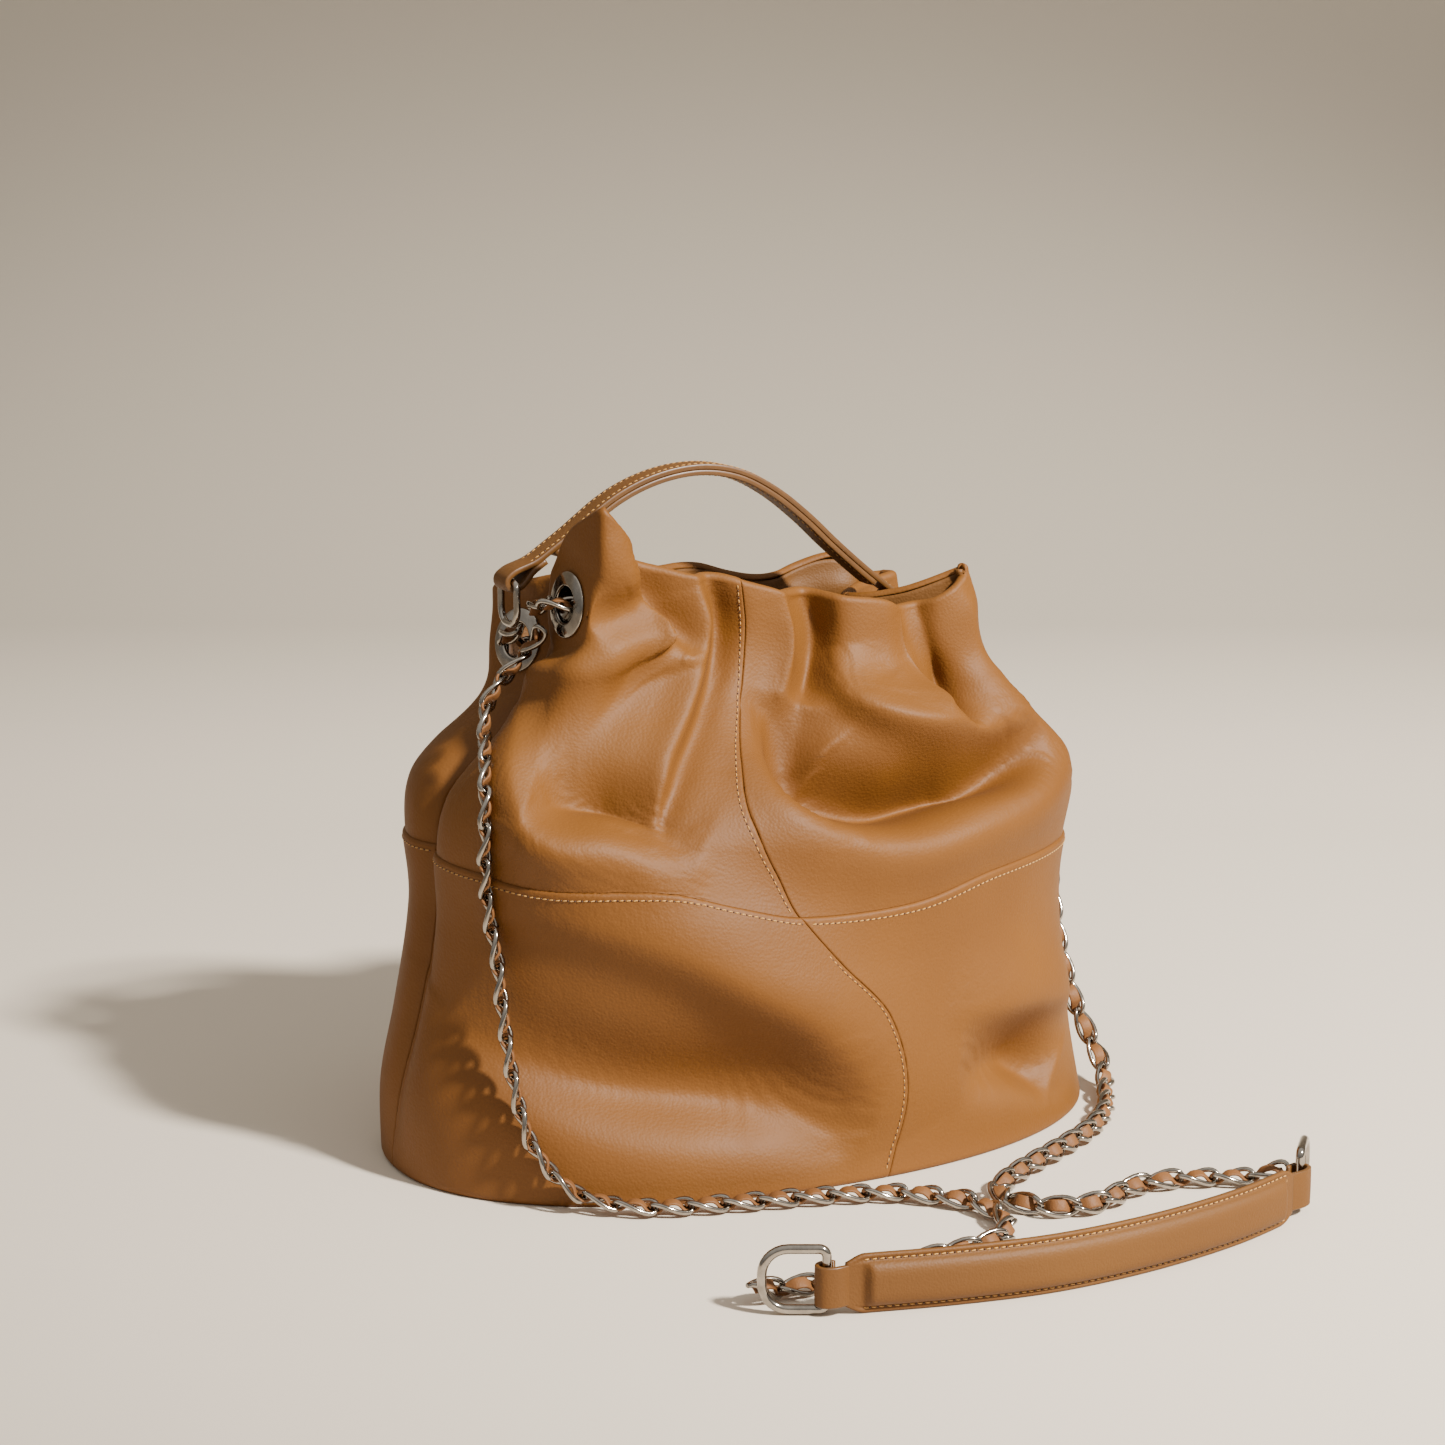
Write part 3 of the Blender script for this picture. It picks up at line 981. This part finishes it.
# The D rings, and the places where they turn: (x, z) for the handle's and (x, y) for the pad's.
HANDLE_RING = dict(width=16, height=16.5, near=2.8, far=6)
HANDLE_RING_WIRE = 2.7
PAD_RING = dict(width=21.5, height=22, near=2.6, far=9)
PAD_RING_WIRE = 3.4
PAD_RING_LIFT = 2                # a pad ring stands this far over the pad's middle
HANDLE_LEFT = (-97.5, 226.5)
HANDLE_RIGHT = (78, 203)
PAD_LEFT = (-67, -203)
PAD_RIGHT = (137, -192)
PAD_HEIGHT = 21
PAD_NECK = 14.5                  # height of the backing, which shows beyond the face
PAD_FLOOR = 0.3                  # gap under the pad
PAD_MIDDLE = PAD_FLOOR + PAD_HEIGHT / 2
# Which way each pad ring's bar lies from its bow, on the floor plan.
PAD_RING_TOWARDS = {"left": (-0.9, 0.44), "right": (0.67, 0.74)}


def d_ring(name, ring, wire, axes, at):
    """A D ring in the plane of the first two axes, at the place where it turns."""
    path = ring_path(**ring) @ np.array(axes, float) + at
    points, faces = wire_loop(path, wire / 2, 14, np.array(axes[2], float))
    add_mesh(f"{name}_wire", points, faces, NICKEL, body=name, replaces=[name], slot="nickel")


def rings():
    """The two rings of the handle and the two of the pad."""
    for side, (x, z) in (("left", HANDLE_LEFT), ("right", HANDLE_RIGHT)):
        axes = ((0, 0, 1), (0, 1, 0), (-1, 0, 0))
        d_ring(f"handle_ring_{side}", HANDLE_RING, HANDLE_RING_WIRE, axes, (x, 0, z))
    for side, (x, y) in (("left", PAD_LEFT), ("right", PAD_RIGHT)):
        away = -unit([*PAD_RING_TOWARDS[side], 0])
        up = np.array([0, 0, 1.0])
        d_ring(f"pad_ring_{side}", PAD_RING, PAD_RING_WIRE, (away, up, np.cross(away, up)),
               (x, y, PAD_MIDDLE + PAD_RING_LIFT))


# ------------------------------------------------------------------ woven chains
LINK_PITCH = 13.5                # from one link's middle to the next
LINK_HALF = 8.0                  # half a link's length, to the middle of the wire
LINK_HALF_WIDTH = 3.4
LINK_WIRE = 2.0
LINK_TWIST = math.radians(57)    # at each end, in opposite directions
LACE_WIDTH = 4.5
LACE_THICK = 1.15
LACE_SWING = 1.7                 # how far the lace rises over and dips under the links


def link_loop(count=26):
    """One twisted curb link's middle line: x along the chain, y across it, z up from its face."""
    a = np.arange(count) * 2 * math.pi / count
    c, s = np.cos(a), np.sin(a)
    x = LINK_HALF * signed_power(c, 2 / 2.5)
    y = LINK_HALF_WIDTH * signed_power(s, 2 / 2.8)
    twist = LINK_TWIST * np.clip(x / LINK_HALF, -1, 1)
    return np.stack([x, y * np.cos(twist), y * np.sin(twist)], 1)


def facing_at(faces_at, share):
    """Which way a chain's face looks, at shares of its length."""
    return at_length(np.array([unit(f[1]) for f in faces_at]), np.array([f[0] for f in faces_at]), share)


def chain_frames(path, lengths, s, faces_at):
    """Places along a route with the directions ahead, across and out of the chain's face."""
    half = LINK_PITCH * 0.25
    ahead = unit(at_length(path, lengths, s + half) - at_length(path, lengths, s - half))
    facing = facing_at(faces_at, s / lengths[-1])
    facing = unit(facing - (facing * ahead).sum(-1, keepdims=True) * ahead)
    return at_length(path, lengths, s), ahead, np.cross(facing, ahead), facing


def woven_chain(route, faces_at):
    """Link and lace meshes of a chain along a route, with the route as sampled."""
    path = catmull(route, 0.8)
    lengths = arc_lengths(path)
    count = int(round((lengths[-1] - 2 * LINK_HALF + LINK_PITCH) / LINK_PITCH))
    first = (lengths[-1] - (count - 1) * LINK_PITCH) / 2
    middles = first + np.arange(count) * LINK_PITCH
    loop = link_loop()
    links = []
    for place, *axes in zip(*chain_frames(path, lengths, middles, faces_at)):
        links.append(wire_loop(place + loop @ np.array(axes), LINK_WIRE / 2, 8, axes[2]))

    s = np.arange(middles[0] - LINK_HALF + 2, middles[-1] + LINK_HALF - 2, LINK_PITCH / 14)
    place, _, across, facing = chain_frames(path, lengths, s, faces_at)
    phase = (s - middles[0]) / LINK_PITCH * 2 * math.pi
    wave = LACE_SWING * np.tanh(1.4 * np.cos(phase)) / math.tanh(1.4)
    line = place + wave[:, None] * facing
    normal = unit(np.cross(unit(np.gradient(line, axis=0)), across))
    normal = normal * np.sign((normal * facing).sum(-1, keepdims=True))
    angle = np.radians(np.arange(0, 360, 30))
    width = LACE_WIDTH / 2 * signed_power(np.cos(angle), 0.45)
    height = LACE_THICK / 2 * signed_power(np.sin(angle), 0.6)
    lace = line[:, None] + width[:, None] * across[:, None] + height[:, None] * normal[:, None]
    return join(links), (lace, capped_sweep(len(line), len(angle))), path


STRAP_LEFT = [
    (-92.3, -21, 209.5), (-93, -15, 206.5), (-94.3, -10.5, 202.3), (-96.5, -9, 198), (-101, -9.5, 194),
    (-106.4, -11, 189.5), (-110.7, -13.5, 185), (-114.4, -17, 179.5), (-117, -22.5, 172.8),
    (-121, -33, 166), (-124.4, -41, 159.3), (-127.3, -47.9, 146.2), (-127.9, -48, 131),
    (-126.4, -46, 115.3), (-124.9, -46.2, 103.5), (-124, -48.9, 92.7), (-123.6, -51.6, 78.2),
    (-123.3, -54.2, 67.2), (-122, -60.2, 45.7), (-118.4, -65.4, 27.4), (-112.7, -70.8, 16.5),
    (-106.8, -75.2, 10), (-99.5, -79.5, 6.4), (-90, -87, 5), (-79, -92.5, 4.4),
    (-62.8, -97.5, 4.4), (-44.7, -102, 4.4), (-26.4, -106, 4.4), (-8, -111, 4.4), (9, -118, 4.4),
    (20.5, -128.4, 4.4), (28.5, -139, 4.4), (30.5, -153, 4.4), (25.8, -168, 4.4), (16, -176.5, 4.4),
    (3.7, -179.6, 4.4), (-25.8, -182, 4.4), (-55, -185, 4.4), (-76, -184.5, 5), (-88.5, -188, 9.5),
]
STRAP_RIGHT = [
    (84, -3, 189), (89.5, 0, 184), (98, 1, 176), (112, 0, 164.5), (129.5, 0, 152.5), (138, 0, 146),
    (143.5, 0, 138.5), (145.8, 0, 120), (145.3, -1, 100), (146, -3, 80), (147.5, -7, 58), (151, -13, 36),
    (154.5, -21, 20), (154, -33, 9.5), (146, -48, 5), (131.5, -70, 4.4), (114, -87, 4.4),
    (90, -102, 4.4), (69, -113.6, 4.4), (50.8, -125.5, 4.4), (42.6, -134.5, 4.4), (42.8, -145, 4.4),
    (51, -156, 4.4), (64, -160.2, 4.4), (76.3, -158, 4.4), (89.7, -151.5, 4.4), (104.2, -150, 4.4),
    (120, -153.6, 4.4), (133, -159.5, 4.6), (143, -164, 6), (151, -168, 9.5),
]
PICTURE_RIGHT = (0.9, -0.44, 0.0)
# Which way the lace side of each chain faces, against its share of the length.
STRAP_FACES = {
    "left": [(0, PICTURE_RIGHT), (0.42, PICTURE_RIGHT), (0.50, (0.3, -0.2, 0.9)), (0.66, (0, -0.1, 1)),
             (0.72, (-0.2, -0.5, 0.85)), (0.78, (0.5, -0.6, 0.6)), (0.85, (0.2, -0.7, 0.7)),
             (1, (0, -0.5, 0.85))],
    "right": [(0, (0.2, -1, 0.2)), (0.5, (-0.3, -1, 0.2)), (0.66, (-0.5, -0.75, 0.45)),
              (0.80, (-0.3, -0.8, 0.5)), (0.88, (-0.3, -0.6, 0.7)), (0.93, (0, -0.15, 1)),
              (1, (0, -0.1, 1))],
}
FLAT_DROP = 0.4                  # a chain lying on its face sits lower than one on its edge


def settled(route, faces_at):
    """The route with its floor stretches lowered where the chain lies on its face."""
    route = np.array(route, float)
    lengths = arc_lengths(route)
    flat = unit(facing_at(faces_at, lengths / lengths[-1]))[:, 2] ** 2
    on_floor = 1 - smooth_step(5, 12, route[:, 2])
    route[:, 2] -= FLAT_DROP * flat * on_floor
    return route


def strap_chains():
    """The free chains from the handle's rings to the pad's, each declared as a cord."""
    for side, route in (("left", STRAP_LEFT), ("right", STRAP_RIGHT)):
        links, lace, path = woven_chain(settled(route, STRAP_FACES[side]), STRAP_FACES[side])
        laced = add_mesh(f"strap_lace_{side}", *lace, LACE_LEATHER, slot="woven_chain")
        chain = add_mesh(f"strap_links_{side}", *links, NICKEL, replaces=[f"strap_chain_{side}"],
                         slot="woven_chain")


def through_eyelet(name, outward, inward):
    """Places just outside and just inside an eyelet, on its axis."""
    centre, axis = eyelet_axis(name)
    return [tuple(centre + outward * axis), tuple(centre - (STACK + inward) * axis)]


DRAWSTRINGS = {
    "front": [(-92, -8.5, 214.5), (-91.6, -15, 218.5), *through_eyelet("front_left", 6, 6),
              (-63, -25, 216), (-35, -20, 211), (-8, -17, 205), (20, -18, 200), (44, -17.5, 198),
              (54, -20, 198), (63, -24.2, 198.3), *through_eyelet("front_right", 5, 4.2)[::-1]],
    "back": [(-93, 4.5, 206.5), *through_eyelet("back_left", 6, 6), (-62, 18, 199), (-35, 19, 197),
             (-5, 19, 195), (25, 19, 193), (44, 18.5, 191), (52, 20, 191.2), (60, 24.5, 191.8),
             *through_eyelet("back_right", 5, 4.2)[::-1]],
}
DRAWSTRING_FACES = {
    "front": [(0, (0.1, -0.3, 1)), (0.2, (0, 0, 1)), (1, (0, 0.4, 1))],
    "back": [(0, (0.1, 0.3, 1)), (1, (0, 0, 1))],
}


def drawstrings():
    """The chains between the rings, which pass through the eyelets and lie inside the mouth."""
    for half, route in DRAWSTRINGS.items():
        links, lace, _ = woven_chain(route, DRAWSTRING_FACES[half])
        add_mesh(f"drawstring_links_{half}", *links, NICKEL, replaces=[f"drawstring_chain_{half}"],
                 slot="woven_chain")
        add_mesh(f"drawstring_lace_{half}", *lace, LACE_LEATHER, slot="woven_chain")


# ------------------------------------------------------------------ top handle
HANDLE_WIDTH = 12.5
HANDLE_LAYER = 2.0
LAYER_GAP = 0.3
LAYER_PRESSED = 0.2              # the handle's layers are pressed together, so each looks thicker
HANDLE_ARCH = [(-76, 240.5), (-54, 256.2), (-36, 263.4), (-18, 265.6), (-2, 262.8), (13, 255.2),
               (27, 244.6), (40, 232.8), (56, 219.4)]
# Shares of the handle's length between which each part of it runs.
UPPER_SPAN = (0.055, 0.945)
UNDER_SPAN = (0.095, 0.89)
TOP_STITCHES = (0.045, 0.955)
UNDER_STITCHES = (0.10, 0.885)
EDGE_BAND = 0.5                  # a strap's sides are painted this far in
CORNER = 0.45                    # radius of a strap's long edges


def strap_section(width, thick, crown=0.25, steps=14):
    """A strap's cross-section (across, out) with rounded corners and a slightly crowned face."""
    w, h = width / 2, thick / 2
    flat = np.linspace(-w + CORNER, w - CORNER, steps)
    face = [(x, h + crown * (1 - (x / w) ** 2) - crown * 0.5) for x in flat]
    side = [(w - CORNER + CORNER * math.cos(a), math.copysign(h - CORNER, a) + CORNER * math.sin(a))
            for a in np.radians((60, 20, -20, -60))]
    back = [(x, -h) for x in flat[::-1]]
    return np.array([*face, *side, *back, *[(-x, y) for x, y in side[::-1]]])


def swept_strap(name, places, section, body, **facts):
    """A strap along (line, out, across) places, its painted edges in their own material."""
    line, out, across = places
    points = line[:, None] + section[:, :1] * across[:, None] + section[:, 1:] * out[:, None]
    n = len(section)
    piece = add_mesh(name, points, capped_sweep(len(line), n), STRAP_LEATHER, body=body, **facts)
    piece.data.materials.append(EDGE_PAINT)
    at_side = np.abs(section[:, 0]) > section[:, 0].max() - EDGE_BAND
    painted = np.tile(at_side & np.roll(at_side, -1), len(line) - 1)
    piece.data.polygons.foreach_set("material_index", [*painted.astype(int), 1, 1])


def turn_round(bar, out, radius, hand, returns):
    """Points of a strap that turns round a ring's bar and comes back on its other side."""
    bar, out = np.array(bar, float), np.array(out, float)
    across = np.array([-out[1], out[0]]) * hand

    def place(a, b):
        return bar + out * a + across * b
    arc = [place(radius * math.cos(q), radius * math.sin(q)) for q in np.radians(np.linspace(90, -90, 9))]
    return [place(-3, radius), *arc, place(-3, -radius), *[place(-a, -b) for a, b in returns]]


def arch_line(arch, span, shift, step=1.5):
    """Part of the handle's arch, moved outwards by shift."""
    lengths = arc_lengths(arch)
    points = at_length(arch, lengths, np.arange(span[0] * lengths[-1], span[1] * lengths[-1], step))
    tangent = unit(np.gradient(points, axis=0))
    return points + shift * np.stack([-tangent[:, 1], tangent[:, 0]], 1)


def lift_xz(points):
    """Points of the XZ plane as places in the scene, with their outward and across directions."""
    tangent = unit(np.gradient(points, axis=0))
    zero = np.zeros(len(points))
    place = np.stack([points[:, 0], zero, points[:, 1]], 1)
    out = np.stack([-tangent[:, 1], zero, tangent[:, 0]], 1)
    return place, out, np.tile((0.0, 1.0, 0.0), (len(points), 1))


def top_handle():
    """The handle's two leathers, the upper one closed round both rings, and their stitches."""
    arch = catmull([HANDLE_LEFT, *HANDLE_ARCH, HANDLE_RIGHT])
    left_out = unit(np.subtract(HANDLE_LEFT, HANDLE_ARCH[0]))
    right_out = unit(np.subtract(HANDLE_RIGHT, HANDLE_ARCH[-1]))
    up = (HANDLE_LAYER + LAYER_GAP) / 2
    bend = HANDLE_RING_WIRE / 2 + 2 * LAYER_GAP + HANDLE_LAYER / 2
    returns = [(8, up + 0.3), (12, up), (15, up)]
    upper = catmull([*turn_round(HANDLE_LEFT, left_out, bend, -1, returns)[::-1],
                     *arch_line(arch, UPPER_SPAN, up, 9.0),
                     *turn_round(HANDLE_RIGHT, right_out, bend, 1, returns)])
    section = strap_section(HANDLE_WIDTH, HANDLE_LAYER + LAYER_PRESSED)
    swept_strap("handle_upper_strap", lift_xz(upper), section, "top_handle",
                replaces=["handle_upper_leather"], slot="handle_leather")
    place, out, across = lift_xz(arch_line(arch, UNDER_SPAN, -up))
    swept_strap("handle_under_strap", (place, -out, -across), section, "top_handle",
                replaces=["handle_under_leather"], slot="handle_leather")
    for name, span, sign in (("top", TOP_STITCHES, 1), ("under", UNDER_STITCHES, -1)):
        place, out, across = lift_xz(arch_line(arch, span, sign * (up + HANDLE_LAYER / 2)))
        for edge, label in ((-1, "front"), (1, "back")):
            stitch_row(f"handle_stitches_{name}_{label}", place + edge * (HANDLE_WIDTH / 2 - 2.0) * across,
                       sign * out, body="top_handle", slant=0.2 * edge)


# ------------------------------------------------------------------ shoulder pad
PAD_LINE = [(-54, -205.5), (-22, -213), (14, -218), (56, -216), (97, -208), (124, -198.5)]
PAD_LAYER = 1.6
PAD_CROWN = 3.2                  # how far the padding swells the face
FACE_EDGE = 1.7                  # thickness of the face's flat border
GROOVE = 0.82                    # the stitched groove, as a share of the half height
FOAM_REACH = 0.61                # the foam core fills this share of the half height
FOAM_CROWN = 2.0
PAD_END_STITCH = 5               # the stitching stops this far from the face's ends


def standing(points):
    """Floor-plan points as places at the pad's middle height, with directions out and up."""
    tangent = unit(np.gradient(points, axis=0))
    out = np.stack([tangent[:, 1], -tangent[:, 0], np.zeros(len(points))], 1)
    place = np.column_stack([points, np.full(len(points), PAD_MIDDLE)])
    return place, out, np.tile((0.0, 0.0, 1.0), (len(points), 1))


def pad_grid(places, depth, height):
    """A grid of points: depth outwards and height upwards from every place."""
    place, out, up = places
    depth = np.broadcast_to(depth, height.shape)
    return place[:, None] + depth[..., None] * out[:, None] + height[..., None] * up[:, None]


def shoulder_pad():
    """The pad's backing strap, its padded face, the foam core and the stitched groove."""
    knots = np.array(PAD_LINE, float)
    left_out = unit(np.array(PAD_LEFT) - knots[0])
    right_out = unit(np.array(PAD_RIGHT) - knots[-1])
    bend = PAD_RING_WIRE / 2 + 3 * LAYER_GAP + PAD_LAYER / 2
    returns = [(3.5, bend * 0.8)]
    strap = catmull([*turn_round(PAD_LEFT, left_out, bend, 1, returns)[::-1], *knots,
                     *turn_round(PAD_RIGHT, right_out, bend, -1, returns)])
    swept_strap("pad_backing_strap", standing(strap), strap_section(PAD_NECK, PAD_LAYER, crown=0.1), "bag",
                replaces=["pad_backing"], slot="pad_leather")

    line = catmull([knots[0] + 7.2 * left_out, *knots, knots[-1] + 4 * right_out])
    lengths = arc_lengths(line)
    places = standing(line)
    end = np.minimum(lengths, lengths[-1] - lengths)[:, None]
    half = mix(PAD_NECK / 2 - 0.2, PAD_HEIGHT / 2, smooth_step(-3, 7, end))
    v = np.linspace(-1, 1, 61)
    crown = smooth_step(5.5, 9.5, end) * (1 - np.minimum(1, np.abs(v) / 0.76) ** 4) ** 0.6
    groove = -0.35 * np.exp(-((np.abs(v) - GROOVE) / 0.05) ** 2) * smooth_step(3, 5, end)
    edge_drop = 0.55 * smooth_step(0.93, 1.0, np.abs(v)) ** 2
    back = PAD_LAYER / 2 + LAYER_GAP
    height = half * v
    front = back + FACE_EDGE + PAD_CROWN * crown + groove - edge_drop
    body, faces = shell(pad_grid(places, front, height), pad_grid(places, back, height))
    face = add_mesh("pad_face_leather", body, faces, STRAP_LEATHER, replaces=["pad_face"],
                    slot="pad_leather")

    rows = end[:, 0] > 10
    core = np.abs(v) < FOAM_REACH
    height = height[rows][:, core]
    front = back + 1.2 + FOAM_CROWN * crown[rows][:, core]
    inside = [d[rows] for d in places]
    body, faces = shell(pad_grid(inside, front, height), pad_grid(inside, back + 0.4, height))
    foam = add_mesh("pad_foam_core", body, faces, FOAM, replaces=["pad_foam"], slot="pad_filling")

    on_face = back + 1.4
    stitched = end[:, 0] > PAD_END_STITCH
    place, out, up = [d[stitched] for d in places]
    for edge, label in ((-1, "lower"), (1, "upper")):
        path = place + on_face * out + edge * GROOVE * half[stitched] * up
        stitch_row(f"pad_stitches_{label}", path, out, pitch=2.7, slant=0.12 * edge)
    place, out, up = places
    for from_left, label in ((PAD_END_STITCH, "left"), (lengths[-1] - PAD_END_STITCH, "right")):
        k = np.searchsorted(lengths, from_left)
        path = place[k] + on_face * out[k] + np.linspace(-0.78, 0.78, 12)[:, None] * half[k] * up[k]
        stitch_row(f"pad_stitches_{label}_end", path, np.tile(out[k], (12, 1)))


# ------------------------------------------------------------------ pieces shown as the CAD has them
def base_looks():
    """Materials for the flat pieces at the bottom, whose CAD meshes are kept."""
    looks = {"base_panel": WALL_LEATHER, "base_board": EDGE_PAINT, "lining_base": LINING_CLOTH}
    for node, material in looks.items():
        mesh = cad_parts[node].data
        mesh.materials.clear()
        mesh.materials.append(material)


# ------------------------------------------------------------------ floor, backdrop and lights
WALL_CURVE = 700.0               # radius of the sweep from floor to wall
WALL_BEHIND = 520.0              # where it begins, behind the bag
WALL_TOP = 4200


def add_stage():
    """A pale floor that curves up into a backdrop behind the bag."""
    forward = unit([CAMERA_FORWARD[0], CAMERA_FORWARD[1], 0])
    side = np.array([forward[1], -forward[0], 0])
    profile = [(-2500, 0), (-900, 0), (0, 0), (WALL_BEHIND, 0)]
    for a in np.radians(range(5, 91, 5)):
        profile.append((WALL_BEHIND + WALL_CURVE * math.sin(a), WALL_CURVE * (1 - math.cos(a))))
    profile.append((WALL_BEHIND + WALL_CURVE, WALL_TOP))
    wide = np.linspace(-3500, 3500, 9)
    points = [f * forward + w * side + np.array([0, 0, h]) for f, h in profile for w in wide]
    floor = add_mesh("backdrop", points, grid_faces(len(profile), len(wide)), backdrop_material(), body=None)


KEY_FROM = (0.30, -0.68, 0.67)   # direction of the main light, seen from the bag
KEY_DISTANCE = 2.6               # metres, as is the aim
KEY_AIM = (0.35, -0.10, 0.05)    # the pool of light lies a little in front and to the right


def add_lights():
    """A warm key light, and a sky that is bright above and dim at the sides."""
    data = bpy.data.lights.new("key", "SPOT")
    data.energy = 900
    data.color = (1.0, 0.95, 0.88)
    data.shadow_soft_size = 0.11
    data.spot_size = math.radians(48)
    data.spot_blend = 1.0
    light = bpy.data.objects.new("key", data)
    scene.collection.objects.link(light)
    light.location = Vector(KEY_FROM).normalized() * KEY_DISTANCE
    light.rotation_euler = (Vector(KEY_AIM) - light.location).to_track_quat("-Z", "Y").to_euler()
    world = bpy.data.worlds.new("world")
    world.use_nodes = True
    nodes, links = world.node_tree.nodes, world.node_tree.links
    direction = nodes.new("ShaderNodeTexCoord")
    height = nodes.new("ShaderNodeSeparateXYZ")
    sky = nodes.new("ShaderNodeValToRGB")
    sky.color_ramp.elements[0].color = (0.28, 0.266, 0.246, 1)
    sky.color_ramp.elements[1].color = (1.0, 0.95, 0.88, 1)
    links.new(direction.outputs["Generated"], height.inputs["Vector"])
    links.new(height.outputs["Z"], sky.inputs["Fac"])
    links.new(sky.outputs["Color"], nodes["Background"].inputs["Color"])
    scene.world = world


# ------------------------------------------------------------------ putting it together
add_camera()
strap_chains()
wall_panels()
inner_layers()
wall_stitches()
eyelets()
rings()
drawstrings()
top_handle()
shoulder_pad()
base_looks()
add_stage()
add_lights()
